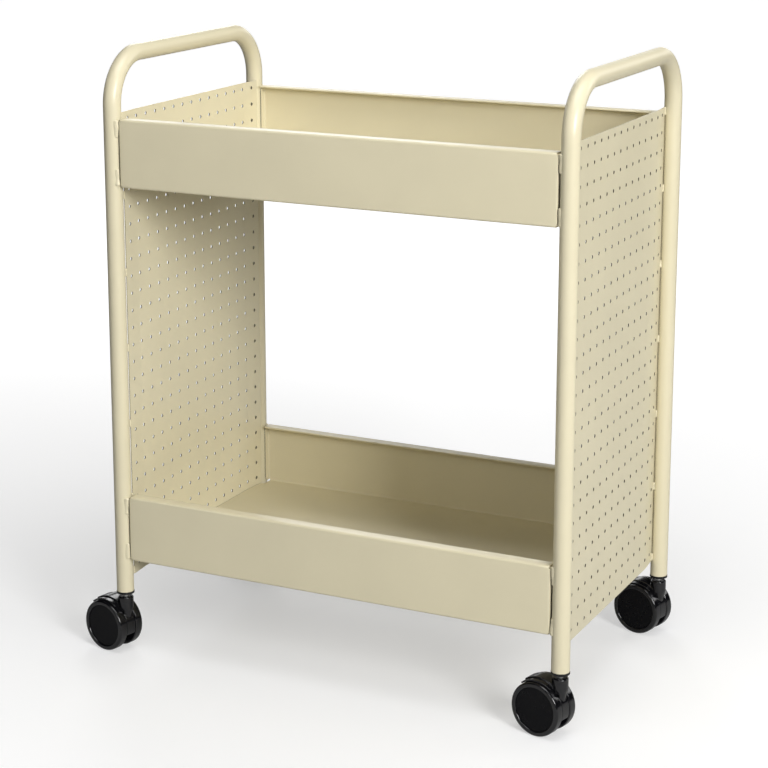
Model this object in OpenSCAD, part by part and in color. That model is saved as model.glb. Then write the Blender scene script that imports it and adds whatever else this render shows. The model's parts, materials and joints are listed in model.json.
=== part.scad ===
// Mobile learning cart: two welded end frames of bent tube, each closed by a
// perforated side panel, with two deep trays between them and four hooded
// twin-wheel swivel casters. Millimetres, +Z up, floor at z = 0.

/* [End frames] */
// Outside diameter of the bent steel tube
tube_d = 25.4; // [22:0.1:30]
// Wall of the tube
tube_wall = 1.5; // [1.2:0.1:2.5]
// Distance between the end frames, tube centre to tube centre
frame_span = 685.8; // [500:0.1:900]
// Distance between front and rear posts, tube centre to tube centre
post_span = 406.4; // [390:0.1:520]
// Height of the handle bars' top above the floor
handle_top_z = 894; // [860:1:1000]
// Distance from the handle bars' top down to the panels' top edge
handle_drop = 91.5; // [86:0.5:110]
// Bend radius of the tube at its centre line
bend_r = 70; // [45:1:110]

/* [Side panels] */
// Thickness of the perforated sheet
panel_t = 0.9; // [0.6:0.1:1.2]
// Distance from the tube's centre plane in to the panel's outer face
panel_inset = 6; // [3:0.1:7]
// Height of the panel's lower edge above the floor
panel_z = 117.5; // [105:0.5:130]
// Pitch of the holes, the same both ways
hole_pitch = 25.4; // [20:0.1:40]
// Diameter of the holes
hole_d = 4.8; // [3:0.1:7]
// Sheet below the lowest row of holes
margin_below = 14.6; // [8:0.1:20]
// Least sheet left above the top row of holes
margin_above = 9; // [6:0.5:12]
// Least sheet left beside the outer columns of holes
margin_beside = 12; // [8:0.5:16]
// Width of the creased strip along each upright edge
crease_w = 36; // [30:0.5:45]
// Angle by which that strip leans inwards
crease_a = 2.5; // [1:0.1:3]
// Open joint between the panel's edge and the tube
panel_joint = 0.9; // [0.3:0.1:2]

/* [Trays] */
// Thickness of the tray sheet
tray_t = 1.2; // [0.8:0.1:1.5]
// Distance from the post's centre out to the face of the tray's front wall
wall_proud = 5.5; // [2:0.1:8]
// Height of the front and rear walls
wall_h = 97; // [60:1:120]
// Depth of the flange that turns in along the top of a wall
rim_w = 19; // [12:0.5:26]
// Depth of the hem folded under that flange
hem_w = 8; // [4:0.5:10]
// Inside radius of the tray's bends
fold_r = 1.8; // [1:0.1:3]
// Depth of the flange that turns in at each end of a wall
return_w = 11; // [6:0.5:14]
// Corner cut off the lower end of that flange
corner_cut = 4.5; // [2:0.5:8]
// Height of the lower tray's underside above the floor
lower_tray_z = 144; // [130:1:220]
// Distance of the upper tray's rim below the panels' top edge
rim_drop = 8; // [4:0.5:80]

/* [Welds] */
// Radius of a weld bead on a tray wall's end
bead_r = 3.3; // [2:0.1:4]
// Length of a weld bead on a tray wall's end
bead_len = 24; // [12:1:34]
// Radius of a weld bead along a panel's edge
stitch_r = 2; // [1.5:0.1:2.5]
// Length of a weld bead along a panel's edge
stitch_len = 12; // [8:1:20]
// Weld beads along each upright edge of a panel
stitch_count = 7; // [3:1:9]
// Tack welds under each end of a tray's floor
tack_count = 3; // [2:1:6]
// Distance of the outer tack welds from the panel's creases
tack_inset = 30; // [15:1:60]

/* [Casters] */
// Height of the tubes' open lower ends above the floor
tube_end_z = 94; // [90:0.5:100]
// Radius of the wheels
wheel_r = 38; // [34:0.5:40]
// Width of one wheel
wheel_w = 13.5; // [12:0.1:18]
// Distance the wheels trail behind the stem
trail = 26.5; // [22:0.5:32]
// Angle by which the casters are swung round at rest
swing_a = 13; // [0:1:40]
// Thickness of the web between the two wheels
web_t = 16.4; // [12:0.1:18]
// Width of the rim round the recessed cap in a wheel's outer face
tyre_w = 5; // [4:0.5:9]
// Radius of the rounded edge on a wheel's outer face
rim_round = 2.5; // [1:0.1:3]
// Depth of the cap's face below the rim
cap_sink = 1.8; // [0.8:0.1:2.4]
// Diameter of the wheels' axle
axle_d = 8; // [6:0.1:9]
// Diameter of the stem inside its socket
stem_d = 11; // [9:0.1:12]
// Diameter of the stem inside the hood
pivot_d = 8; // [6:0.1:9]
// Radius of the hood's neck round the stem
neck_r = 11.3; // [9:0.1:12]
// Thickness of the hood's side bands over the wheels
fender_t = 1.8; // [1.2:0.1:2.2]
// Height by which the hood's middle band stands above its side bands
fender_step = 1.8; // [0.8:0.1:2.2]
// Half width of the hood over the wheels
fender_half = 18; // [14:0.5:20]
// Half width of the hood's middle band
crown_half = 9.5; // [9:0.1:10]

/* [Hidden] */
$fn = 48;

cream = [0.85, 0.81, 0.68];
black = [0.06, 0.06, 0.07];
zinc = [0.75, 0.76, 0.78];

// Small overlap that makes joined solids one, and cuts run clear
eps = 0.05;
// Length by which a cutter runs past what it cuts
cut = 1;
// Gap between a weld bead and what it was laid on
bead_seat = 0.02;
// Gap left round sheet edges that meet another piece
sheet_gap = 0.2;

tube_r = tube_d / 2;
tube_ri = tube_r - tube_wall;
bar_z = handle_top_z - tube_r;

// The box round the whole cart is set by the casters, so the cart stands off
// the origin by the casters' trail, turned by their swing.
caster_shift = [-trail * cos(swing_a), trail * sin(swing_a)];

panel_h = handle_top_z - handle_drop - panel_z;
panel_x = frame_span / 2 - panel_inset;
// The creased strip ends where its outer corner stands clear of the tube
edge_inset = panel_inset + crease_w * sin(crease_a);
panel_edge_y = post_span / 2 - sqrt(tube_r * tube_r - edge_inset * edge_inset) - panel_joint;
crease_y = panel_edge_y - crease_w * cos(crease_a);
hole_rows = 1 + floor((panel_h - margin_below - margin_above) / hole_pitch);
hole_cols = 1 + floor(2 * (panel_edge_y - margin_beside) / hole_pitch);

upper_tray_z = panel_z + panel_h - rim_drop - wall_h;
tray_half_x = frame_span / 2 - tube_r - bead_seat;
tray_half_y = post_span / 2 + wall_proud;
fold_ro = fold_r + tray_t;
// Half the hem's inner gap, so that the folded sheet is not one thick lump
hem_gap = 0.3;
hem_ro = hem_gap + tray_t;
// Half width of the floor where it passes between the posts
tongue_half_y = post_span / 2 - tube_r - sheet_gap;

// Weld beads stand this far out of the seams that they fill
bead_lift = 0.5;
stitch_lift = 0.4;

// Casters, measured from the stem's axis and the floor
collar_t = 3.6;
collar_over = 0.4;
collar_edge = 0.6;
socket_len = 32;
socket_fit = 0.05;
// Slope that starts the plug and the stem in their bores
lead_in = 1.5;
washer_r = 8;
washer_t = 2.4;
washer_edge = 0.4;
stem_len = 22;
stem_fit = 0.1;
groove_z = 15;
groove_h = 3;
groove_depth = 0.8;
ring_fit = 0.1;
ring_slit = 1.5;

// Bare length of the pivot between the washer and the hood
swivel_gap = 2.6;
hood_top_z = tube_end_z - collar_t - washer_t - swivel_gap;
pivot_len = 24;
pivot_gap = 0.5;
pivot_fit = 0.05;
pivot_edge = 1;
pivot_tip_z = hood_top_z - pivot_len + pivot_gap;
tyre_gap = 0.8;
side_gap = 0.8;
pocket_r = wheel_r + tyre_gap;
band_r = pocket_r + fender_t;
crown_r = band_r + fender_step;
web_r = wheel_r - 1;
core_r = wheel_r - 14;
// The side bands cover only the top of the wheels, in angles counted from straight
// ahead. The web between the wheels goes further down both ways, and the middle
// band starts in the neck.
band_from_a = 56;
band_to_a = 128;
web_from_a = -18;
web_to_a = 150;
crown_from_a = 50;
crown_to_a = 125;
// Where the neck starts to taper, and where its tip ends between the wheels
neck_z = hood_top_z - 17;
throat_z = wheel_r + 6;
neck_tip_r = 5;
neck_step = 1.2;

axle_fit = 0.02;
wheel_fit = 0.05;
wheel_y = web_t / 2 + side_gap;
wheel_edge = 1.2;
cap_r = wheel_r - tyre_w;
cap_t = 2.2;
cap_fit = 0.1;
cap_edge = 0.7;
cap_seat = wheel_w - cap_sink - cap_t;
disc_t = 3;
hub_r = axle_d / 2 + 4;
rib_count = 6;
rib_t = 1.6;
// How far the ribs run into the hub and the rim, and stop short of its edge
rib_bite = 1;
axle_half = wheel_y + cap_seat - 0.6;

// Sides by the sign of their x or y, and corners by both
LEFT = -1;
RIGHT = 1;
FRONT = -1;
BACK = 1;
FRONT_LEFT = [LEFT, FRONT];
FRONT_RIGHT = [RIGHT, FRONT];
REAR_LEFT = [LEFT, BACK];
REAR_RIGHT = [RIGHT, BACK];
CORNERS = [FRONT_LEFT, FRONT_RIGHT, REAR_LEFT, REAR_RIGHT];

// Moves a part from the cart's centre line to the origin's place
module on_cart() {
  translate([-caster_shift[0], -caster_shift[1], 0]) children();
}

// One caster's place under its post, swung round as in the picture
module at_corner(corner) {
  on_cart()
    translate([corner[0] * frame_span / 2, corner[1] * post_span / 2, 0])
      rotate([0, 0, -swing_a]) children();
}

// Mirrors a right-hand piece to the left, and a rear one to the front
module mirrored_x(side) {
  if (side == LEFT) mirror([1, 0, 0]) children();
  else children();
}

module mirrored_y(face) {
  if (face == FRONT) mirror([0, 1, 0]) children();
  else children();
}

// The tube's outline as one solid of the given radius: two posts, two bends
// and the handle bar, in the plane x = 0
module hoop(radius, end_z) {
  for (side = [LEFT, RIGHT]) {
    translate([0, side * post_span / 2, end_z])
      cylinder(r = radius, h = bar_z - bend_r - end_z);
    translate([0, side * (post_span / 2 - bend_r), bar_z - bend_r])
      rotate([90, 0, side * 90])
        rotate_extrude(angle = 90, $fn = 96)
          translate([bend_r, 0]) circle(r = radius);
  }
  translate([0, -(post_span / 2 - bend_r), bar_z])
    rotate([-90, 0, 0])
      cylinder(r = radius, h = post_span - 2 * bend_r);
}

module end_frame(side) {
  color(cream)
    on_cart()
      translate([side * frame_span / 2, 0, 0])
        difference() {
          hoop(tube_r, tube_end_z);
          hoop(tube_ri, tube_end_z - eps);
        }
}

// Section of the right panel seen from above: flat in the middle, with both
// upright edges creased inwards
function panel_face_x(y) =
  panel_x - max(0, abs(y) - crease_y) * tan(crease_a);

module panel_section(thickness) {
  edge_in = thickness * cos(crease_a);
  edge_back = thickness * sin(crease_a);
  mitre = thickness * tan(crease_a / 2);
  polygon([
    [panel_face_x(panel_edge_y), -panel_edge_y],
    [panel_x, -crease_y],
    [panel_x, crease_y],
    [panel_face_x(panel_edge_y), panel_edge_y],
    [panel_face_x(panel_edge_y) - edge_in, panel_edge_y - edge_back],
    [panel_x - thickness, crease_y - mitre],
    [panel_x - thickness, -crease_y + mitre],
    [panel_face_x(panel_edge_y) - edge_in, -panel_edge_y + edge_back]
  ]);
}

module panel_holes() {
  depth = edge_inset - panel_inset + panel_t + 2 * cut;
  for (col = [0 : hole_cols - 1], row = [0 : hole_rows - 1])
    translate([
      panel_x + cut,
      (col - (hole_cols - 1) / 2) * hole_pitch,
      margin_below + row * hole_pitch
    ])
      rotate([0, -90, 0]) cylinder(d = hole_d, h = depth, $fn = 24);
}

module side_panel(side) {
  color(cream)
    on_cart()
      mirrored_x(side)
        translate([0, 0, panel_z])
          difference() {
            linear_extrude(panel_h) panel_section(panel_t);
            panel_holes();
          }
}

// A quarter of a bent sheet, with its centre at the origin, in the quadrant
// right of and above it
module quarter_bend() {
  intersection() {
    difference() {
      circle(r = fold_ro);
      circle(r = fold_r);
    }
    square(fold_ro + eps);
  }
}

// Section of half a tray across the cart: floor, wall, flange and its hem
module tray_half_section() {
  rim_z = wall_h - fold_ro;
  rim_end = tray_half_y - rim_w + hem_ro;
  translate([-eps, 0]) square([tray_half_y - fold_ro + 2 * eps, tray_t]);
  translate([tray_half_y - fold_ro, fold_ro]) mirror([0, 1]) quarter_bend();
  translate([tray_half_y - tray_t, fold_ro - eps]) square([tray_t, rim_z - fold_ro + 2 * eps]);
  translate([tray_half_y - fold_ro, rim_z]) quarter_bend();
  translate([rim_end, wall_h - tray_t]) square([tray_half_y - fold_ro - rim_end + eps, tray_t]);
  translate([rim_end, wall_h - hem_ro])
    difference() {
      circle(r = hem_ro);
      circle(r = hem_gap);
      translate([0, -hem_ro - eps]) square(2 * hem_ro + 2 * eps);
    }
  translate([rim_end - eps, wall_h - 2 * hem_ro]) square([hem_w - hem_ro, tray_t]);
}

// The wall's end, turned in along the post, with its corners cut off
module wall_return() {
  low = fold_ro + sheet_gap;
  high = wall_h - fold_ro - sheet_gap;
  flat_y = tray_half_y - fold_ro;
  edge_y = tray_half_y - return_w;
  translate([tray_half_x - fold_ro, flat_y, low])
    linear_extrude(high - low) quarter_bend();
  translate([tray_half_x - tray_t, 0, 0])
    rotate([90, 0, 90])
      linear_extrude(tray_t)
        polygon([
          [flat_y + eps, low],
          [flat_y + eps, high],
          [edge_y + corner_cut, high],
          [edge_y, high - corner_cut],
          [edge_y, low + corner_cut],
          [edge_y + corner_cut, low]
        ]);
}

// The floor's tongue runs out between the posts to the panel's inner face
module floor_tongue() {
  edge = panel_t + sheet_gap;
  linear_extrude(tray_t)
    polygon([
      [tray_half_x - fold_ro - eps, -tongue_half_y],
      [panel_face_x(tongue_half_y) - edge, -tongue_half_y],
      [panel_x - edge, -crease_y],
      [panel_x - edge, crease_y],
      [panel_face_x(tongue_half_y) - edge, tongue_half_y],
      [tray_half_x - fold_ro - eps, tongue_half_y]
    ]);
}

module tray(z) {
  color(cream)
    on_cart()
      translate([0, 0, z]) {
        translate([-(tray_half_x - fold_ro), 0, 0])
          rotate([90, 0, 90])
            linear_extrude(2 * (tray_half_x - fold_ro)) {
              tray_half_section();
              mirror([1, 0]) tray_half_section();
            }
        for (side = [LEFT, RIGHT]) {
          mirrored_x(side) floor_tongue();
          for (face = [FRONT, BACK])
            mirrored_y(face) mirrored_x(side) wall_return();
        }
      }
}

// A bead of weld metal: a rod with round ends, along z
module bead(radius, len) {
  translate([0, 0, radius]) {
    cylinder(r = radius, h = len - 2 * radius, $fn = 24);
    sphere(r = radius, $fn = 24);
    translate([0, 0, len - 2 * radius]) sphere(r = radius, $fn = 24);
  }
}

// Beads that join one wall end to its post, high and low, cut to fit both
module wall_beads() {
  seam_x = frame_span / 2 - sqrt(tube_r * tube_r - wall_proud * wall_proud);
  back_y = tray_half_y - wall_proud / 2 - cut;
  ends = fold_ro + cut;
  difference() {
    for (z = [ends, wall_h - ends - bead_len])
      translate([seam_x + bead_lift, tray_half_y + bead_lift, z]) bead(bead_r, bead_len);
    translate([frame_span / 2, post_span / 2, 0]) cylinder(r = tube_r + bead_seat, h = wall_h);
    cube([tray_half_x + bead_seat, tray_half_y + bead_seat, wall_h]);
    cube([frame_span / 2, back_y, wall_h]);
  }
}

// Tack welds in the corner between the floor's underside and the panel
module floor_tacks() {
  span = 2 * (crease_y - tack_inset);
  for (i = [0 : tack_count - 1])
    translate([panel_x - panel_t - bead_seat, -span / 2 + i * span / (tack_count - 1), -bead_seat])
      rotate([90, 0, 0])
        intersection() {
          translate([0, 0, -stitch_len / 2]) bead(stitch_r, stitch_len);
          translate([-2 * stitch_r, -2 * stitch_r, -stitch_len])
            cube([2 * stitch_r, 2 * stitch_r, 2 * stitch_len]);
        }
}

module tray_weld_beads() {
  color(cream)
    on_cart()
      for (z = [lower_tray_z, upper_tray_z], side = [LEFT, RIGHT])
        translate([0, 0, z]) {
          mirrored_x(side) floor_tacks();
          for (face = [FRONT, BACK])
            mirrored_y(face) mirrored_x(side) wall_beads();
        }
}

// Beads that bridge the open joint between a panel's edge and the post
module edge_stitches() {
  step = (panel_h - stitch_len) / (stitch_count - 1);
  face_x = panel_face_x(panel_edge_y);
  difference() {
    for (i = [0 : stitch_count - 1])
      translate([face_x + stitch_lift, panel_edge_y + panel_joint / 2, i * step])
        bead(stitch_r, stitch_len);
    translate([frame_span / 2, post_span / 2, -cut])
      cylinder(r = tube_r + bead_seat, h = panel_h + 2 * cut);
    translate([bead_seat, bead_seat, -cut])
      linear_extrude(panel_h + 2 * cut) panel_section(panel_t + 4 * stitch_r);
    translate([0, 0, -cut]) cube([face_x - panel_t, post_span / 2, panel_h + 2 * cut]);
  }
}

module panel_weld_beads() {
  color(cream)
    on_cart()
      for (side = [LEFT, RIGHT], face = [FRONT, BACK])
        mirrored_y(face) mirrored_x(side)
          translate([0, 0, panel_z]) edge_stitches();
}

// Plastic insert in the tube's end: a plug with a bore and a collar below it
module socket(corner) {
  color(black)
    at_corner(corner)
      translate([0, 0, tube_end_z])
        rotate_extrude($fn = 64)
          polygon([
            [stem_d / 2 + stem_fit, -collar_t],
            [tube_r + collar_over - collar_edge, -collar_t],
            [tube_r + collar_over, -collar_t + collar_edge],
            [tube_r + collar_over, -bead_seat],
            [tube_ri - socket_fit, -bead_seat],
            [tube_ri - socket_fit, socket_len - lead_in],
            [tube_ri - socket_fit - lead_in, socket_len],
            [stem_d / 2 + stem_fit, socket_len]
          ]);
}

// Steel stem: a grooved shank in the socket, a washer, and the pivot below
module stem(corner) {
  seat_z = tube_end_z - collar_t - bead_seat;
  shank_r = stem_d / 2;
  color(zinc)
    at_corner(corner)
      rotate_extrude($fn = 64)
        polygon([
          [0, pivot_tip_z],
          [pivot_d / 2 - pivot_edge, pivot_tip_z],
          [pivot_d / 2, pivot_tip_z + pivot_edge],
          [pivot_d / 2, seat_z - washer_t],
          [washer_r - washer_edge, seat_z - washer_t],
          [washer_r, seat_z - washer_t + washer_edge],
          [washer_r, seat_z - washer_edge],
          [washer_r - washer_edge, seat_z],
          [shank_r, seat_z],
          [shank_r, seat_z + groove_z],
          [shank_r - groove_depth, seat_z + groove_z],
          [shank_r - groove_depth, seat_z + groove_z + groove_h],
          [shank_r, seat_z + groove_z + groove_h],
          [shank_r, seat_z + stem_len - lead_in],
          [shank_r - lead_in, seat_z + stem_len],
          [0, seat_z + stem_len]
        ]);
}

// Split spring rings in the stems' grooves
module stem_grip_rings() {
  ring_z = tube_end_z - collar_t + groove_z + ring_fit;
  outer_r = stem_d / 2 + stem_fit - bead_seat;
  inner_r = stem_d / 2 - groove_depth + ring_fit;
  ring_h = groove_h - 2 * ring_fit;
  color(zinc)
    for (corner = CORNERS)
      at_corner(corner)
        translate([0, 0, ring_z])
          difference() {
            cylinder(r = outer_r, h = ring_h);
            translate([0, 0, -cut]) cylinder(r = inner_r, h = ring_h + 2 * cut);
            translate([0, -ring_slit / 2, -cut]) cube([stem_d, ring_slit, ring_h + 2 * cut]);
          }
}

// Wedge of the hood's side view between two angles, with its tip on the axle
module sweep_wedge(radius, from_a, to_a) {
  reach = 2 * radius;
  third_a = (to_a - from_a) / 3;
  intersection() {
    circle(r = radius, $fn = 96);
    polygon([
      [0, 0],
      for (i = [0 : 3]) reach * [cos(from_a + i * third_a), sin(from_a + i * third_a)]
    ]);
  }
}

// A slab of a side view, centred across the caster
module slab(half) {
  rotate([90, 0, 0])
    translate([0, 0, -half])
      linear_extrude(2 * half) children();
}

module hood(corner) {
  color(black)
    at_corner(corner)
      difference() {
        union() {
          translate([-trail, 0, wheel_r]) {
            slab(fender_half) sweep_wedge(band_r, band_from_a, band_to_a);
            slab(crown_half) sweep_wedge(crown_r, crown_from_a, crown_to_a);
            slab(crown_half) sweep_wedge(web_r, web_from_a, web_to_a);
            slab(crown_half) circle(r = core_r);
          }
          rotate_extrude()
            polygon([
              [0, throat_z],
              [neck_tip_r, throat_z],
              [neck_r, neck_z],
              [neck_r, hood_top_z - neck_step],
              [neck_r - neck_step, hood_top_z],
              [0, hood_top_z]
            ]);
        }
        translate([-trail, 0, wheel_r])
          for (side = [LEFT, RIGHT])
            rotate([90 * side, 0, 0])
              translate([0, 0, web_t / 2]) cylinder(r = pocket_r, h = fender_half, $fn = 96);
        translate([0, 0, hood_top_z - pivot_len])
          cylinder(d = pivot_d + 2 * pivot_fit, h = pivot_len + cut);
        translate([-trail, fender_half, wheel_r])
          rotate([90, 0, 0]) cylinder(d = axle_d + 2 * axle_fit, h = 2 * fender_half);
      }
}

module axle(corner) {
  color(zinc)
    at_corner(corner)
      translate([-trail, axle_half, wheel_r])
        rotate([90, 0, 0]) cylinder(d = axle_d, h = 2 * axle_half);
}

// One wheel on its own axis: x is the radius, y runs from the web outwards
module wheel_section() {
  difference() {
    union() {
      translate([cap_r, 0]) square([wheel_r - cap_r, wheel_w - rim_round]);
      translate([cap_r, 0]) square([wheel_r - cap_r - rim_round, wheel_w]);
      translate([wheel_r - rim_round, wheel_w - rim_round]) circle(r = rim_round);
      translate([hub_r - eps, cap_seat - disc_t]) square([cap_r - hub_r + 2 * eps, disc_t]);
      translate([axle_d / 2 + wheel_fit, 0]) square([hub_r - axle_d / 2 - wheel_fit, cap_seat]);
    }
    polygon([
      [wheel_r - wheel_edge - cut, -cut],
      [wheel_r + cut, -cut],
      [wheel_r + cut, wheel_edge + cut]
    ]);
  }
}

// Puts a piece that is turned about z on the caster's axle, on one side
module on_axle(corner, face) {
  at_corner(corner)
    translate([-trail, 0, wheel_r])
      rotate([-90 * face, 0, 0])
        translate([0, 0, wheel_y]) children();
}

module wheel(corner, face) {
  color(black)
    on_axle(corner, face) {
      rotate_extrude($fn = 96) wheel_section();
      for (i = [0 : rib_count - 1])
        rotate([0, 0, i * 360 / rib_count])
          translate([hub_r - rib_bite, -rib_t / 2, rib_bite])
            cube([cap_r - hub_r + 2 * rib_bite, rib_t, cap_seat - disc_t - rib_bite + eps]);
    }
}

module cap(corner, face) {
  rim = cap_r - cap_fit;
  color(black)
    on_axle(corner, face)
      translate([0, 0, cap_seat])
        rotate_extrude($fn = 96)
          polygon([
            [0, bead_seat],
            [rim, bead_seat],
            [rim, cap_t - cap_edge],
            [rim - cap_edge, cap_t],
            [0, cap_t]
          ]);
}

end_frame(LEFT);  // left_end_frame
end_frame(RIGHT);  // right_end_frame
side_panel(LEFT);  // left_side_panel
side_panel(RIGHT);  // right_side_panel
tray(upper_tray_z);  // upper_tray
tray(lower_tray_z);  // lower_tray
tray_weld_beads();
panel_weld_beads();
socket(FRONT_LEFT);  // front_left_socket
socket(FRONT_RIGHT);  // front_right_socket
socket(REAR_LEFT);  // rear_left_socket
socket(REAR_RIGHT);  // rear_right_socket
stem(FRONT_LEFT);  // front_left_stem
stem(FRONT_RIGHT);  // front_right_stem
stem(REAR_LEFT);  // rear_left_stem
stem(REAR_RIGHT);  // rear_right_stem
stem_grip_rings();
hood(FRONT_LEFT);  // front_left_hood
hood(FRONT_RIGHT);  // front_right_hood
hood(REAR_LEFT);  // rear_left_hood
hood(REAR_RIGHT);  // rear_right_hood
axle(FRONT_LEFT);  // front_left_axle
axle(FRONT_RIGHT);  // front_right_axle
axle(REAR_LEFT);  // rear_left_axle
axle(REAR_RIGHT);  // rear_right_axle
wheel(FRONT_LEFT, FRONT);  // front_left_wheel_front
wheel(FRONT_RIGHT, FRONT);  // front_right_wheel_front
wheel(REAR_LEFT, FRONT);  // rear_left_wheel_front
wheel(REAR_RIGHT, FRONT);  // rear_right_wheel_front
wheel(FRONT_LEFT, BACK);  // front_left_wheel_back
wheel(FRONT_RIGHT, BACK);  // front_right_wheel_back
wheel(REAR_LEFT, BACK);  // rear_left_wheel_back
wheel(REAR_RIGHT, BACK);  // rear_right_wheel_back
cap(FRONT_LEFT, FRONT);  // front_left_cap_front
cap(FRONT_RIGHT, FRONT);  // front_right_cap_front
cap(REAR_LEFT, FRONT);  // rear_left_cap_front
cap(REAR_RIGHT, FRONT);  // rear_right_cap_front
cap(FRONT_LEFT, BACK);  // front_left_cap_back
cap(FRONT_RIGHT, BACK);  // front_right_cap_back
cap(REAR_LEFT, BACK);  // rear_left_cap_back
cap(REAR_RIGHT, BACK);  // rear_right_cap_back
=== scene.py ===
"""Visual model of a two-tray rolling cart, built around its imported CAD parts.

The cart is powder-coated steel: two end frames of bent tube, each closed by a perforated
panel, two deep trays, and four black twin-wheel casters. The cart's sizes are millimetres
and its angles degrees. The lamps stand in metres.
"""

import json
import logging
from dataclasses import dataclass
from enum import Enum
from math import acos, cos, hypot, pi, radians, sin, sqrt, tan
from typing import Sequence

import bmesh
import bpy
import numpy as np
from mathutils import Matrix, Vector

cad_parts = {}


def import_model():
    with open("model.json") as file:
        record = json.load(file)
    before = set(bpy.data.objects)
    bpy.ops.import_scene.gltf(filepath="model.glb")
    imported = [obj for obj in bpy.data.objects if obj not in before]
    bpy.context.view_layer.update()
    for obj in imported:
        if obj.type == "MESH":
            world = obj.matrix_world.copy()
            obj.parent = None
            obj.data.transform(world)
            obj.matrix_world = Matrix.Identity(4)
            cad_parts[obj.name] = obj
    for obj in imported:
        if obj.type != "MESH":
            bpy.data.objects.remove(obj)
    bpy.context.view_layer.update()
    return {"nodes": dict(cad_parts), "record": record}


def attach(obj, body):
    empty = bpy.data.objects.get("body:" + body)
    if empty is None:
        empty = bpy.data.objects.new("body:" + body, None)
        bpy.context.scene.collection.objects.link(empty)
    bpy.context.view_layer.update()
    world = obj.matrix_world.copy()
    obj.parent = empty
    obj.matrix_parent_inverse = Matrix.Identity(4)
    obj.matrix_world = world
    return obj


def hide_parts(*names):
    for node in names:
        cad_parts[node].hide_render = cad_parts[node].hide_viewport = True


logging.basicConfig(level=logging.INFO, format="%(message)s")
log = logging.getLogger("cart")

MM = 0.001
Array = np.ndarray
Material = bpy.types.Material
Object = bpy.types.Object
Socket = bpy.types.NodeSocket
Value = float | Sequence[float] | Socket


class Side(Enum):
    """One end of the cart, by its sign along x."""

    LEFT = -1
    RIGHT = 1


class Corner(Enum):
    """Where a caster stands, by its signs along x and y."""

    FRONT_LEFT = (-1, -1)
    FRONT_RIGHT = (1, -1)
    REAR_LEFT = (-1, 1)
    REAR_RIGHT = (1, 1)


class Face(Enum):
    """One wheel of a caster, by its sign across the caster."""

    FRONT = -1
    BACK = 1


class Axis(Enum):
    """The way the axis of a turned piece points, as where its x, its y and its height go."""

    UP = ((1, 0, 0), (0, 1, 0), (0, 0, 1))
    REAR = ((1, 0, 0), (0, 0, -1), (0, 1, 0))
    FRONT = ((1, 0, 0), (0, 0, 1), (0, -1, 0))


# Materials


class Pen:
    """Draws in one node tree."""

    def __init__(self, tree: bpy.types.NodeTree) -> None:
        """Takes the tree to draw in."""
        self.tree = tree

    def add(self, kind: str) -> bpy.types.Node:
        """Adds a shader node by the end of its type's name."""
        return self.tree.nodes.new(f"ShaderNode{kind}")

    def put(self, node: bpy.types.Node, **inputs: Value) -> bpy.types.Node:
        """Sets a node's inputs, each to a number or to another node's output.

        Args:
            node: The node.
            **inputs: Each input's name with spaces as underscores, or i and its number.

        Returns:
            The node.
        """
        for key, value in inputs.items():
            numbered = key[0] == "i" and key[1:].isdigit()
            socket = node.inputs[int(key[1:]) if numbered else key.replace("_", " ")]
            if isinstance(value, Socket):
                self.tree.links.new(value, socket)
            else:
                socket.default_value = value
        return node

    def ramp(self, fac: Value, low: float, high: float, to_low: float, to_high: float) -> Socket:
        """Maps a factor from one range to another, held at both ends."""
        return self.put(self.add("MapRange"), i0=fac, i1=low, i2=high, i3=to_low, i4=to_high).outputs[0]

    def calc(self, kind: str, a: Value, b: Value, node: str = "Math") -> Socket:
        """One step of arithmetic, by the name that a Math or VectorMath node gives it.

        Args:
            kind: The operation.
            a: Its first value.
            b: Its second value.
            node: Math for numbers, or VectorMath.

        Returns:
            The step's result.
        """
        step = self.add(node)
        step.operation = kind
        return self.put(step, i0=a, i1=b).outputs["Value"]

    def seen(self) -> Socket:
        """1 for what the camera sees itself and 0 for the light on other things."""
        return self.add("LightPath").outputs["Is Camera Ray"]


class Shader(Pen):
    """A pen for one new material."""

    def __init__(self, name: str) -> None:
        """Starts an empty tree with a Principled shader and Object coordinates.

        Args:
            name: The material's name.
        """
        self.material = bpy.data.materials.new(name)
        self.material.use_nodes = True
        super().__init__(self.material.node_tree)
        self.tree.nodes.clear()
        out = self.add("OutputMaterial")
        self.bsdf = self.add("BsdfPrincipled")
        self.tree.links.new(self.bsdf.outputs[0], out.inputs[0])
        self.place = self.add("TexCoord").outputs["Object"]

    def noise(self, scale: float, detail: float = 3.0, rough: float = 0.5) -> Socket:
        """A noise texture's factor over Object coordinates."""
        node = self.add("TexNoise")
        return self.put(node, Vector=self.place, Scale=scale, Detail=detail, Roughness=rough).outputs["Fac"]

    def mix(self, fac: Socket, a: Value, b: Value) -> Socket:
        """Mixes two colours by a factor, from all of the first at 0 to all of the second at 1.

        Args:
            fac: The factor.
            a: The first colour, as red, green and blue or another node's output.
            b: The second colour.

        Returns:
            The mixed colour.
        """
        node = self.add("Mix")
        node.data_type = "RGBA"
        a, b = ((*colour, 1.0) if isinstance(colour, tuple) else colour for colour in (a, b))
        return self.put(node, i0=fac, i6=a, i7=b).outputs[2]

    def bump(self, height: Socket, strength: float, distance: float = 0.1 * MM) -> Socket:
        """A bump from a height factor."""
        return self.put(self.add("Bump"), Height=height, Strength=strength, Distance=distance).outputs[0]


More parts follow.
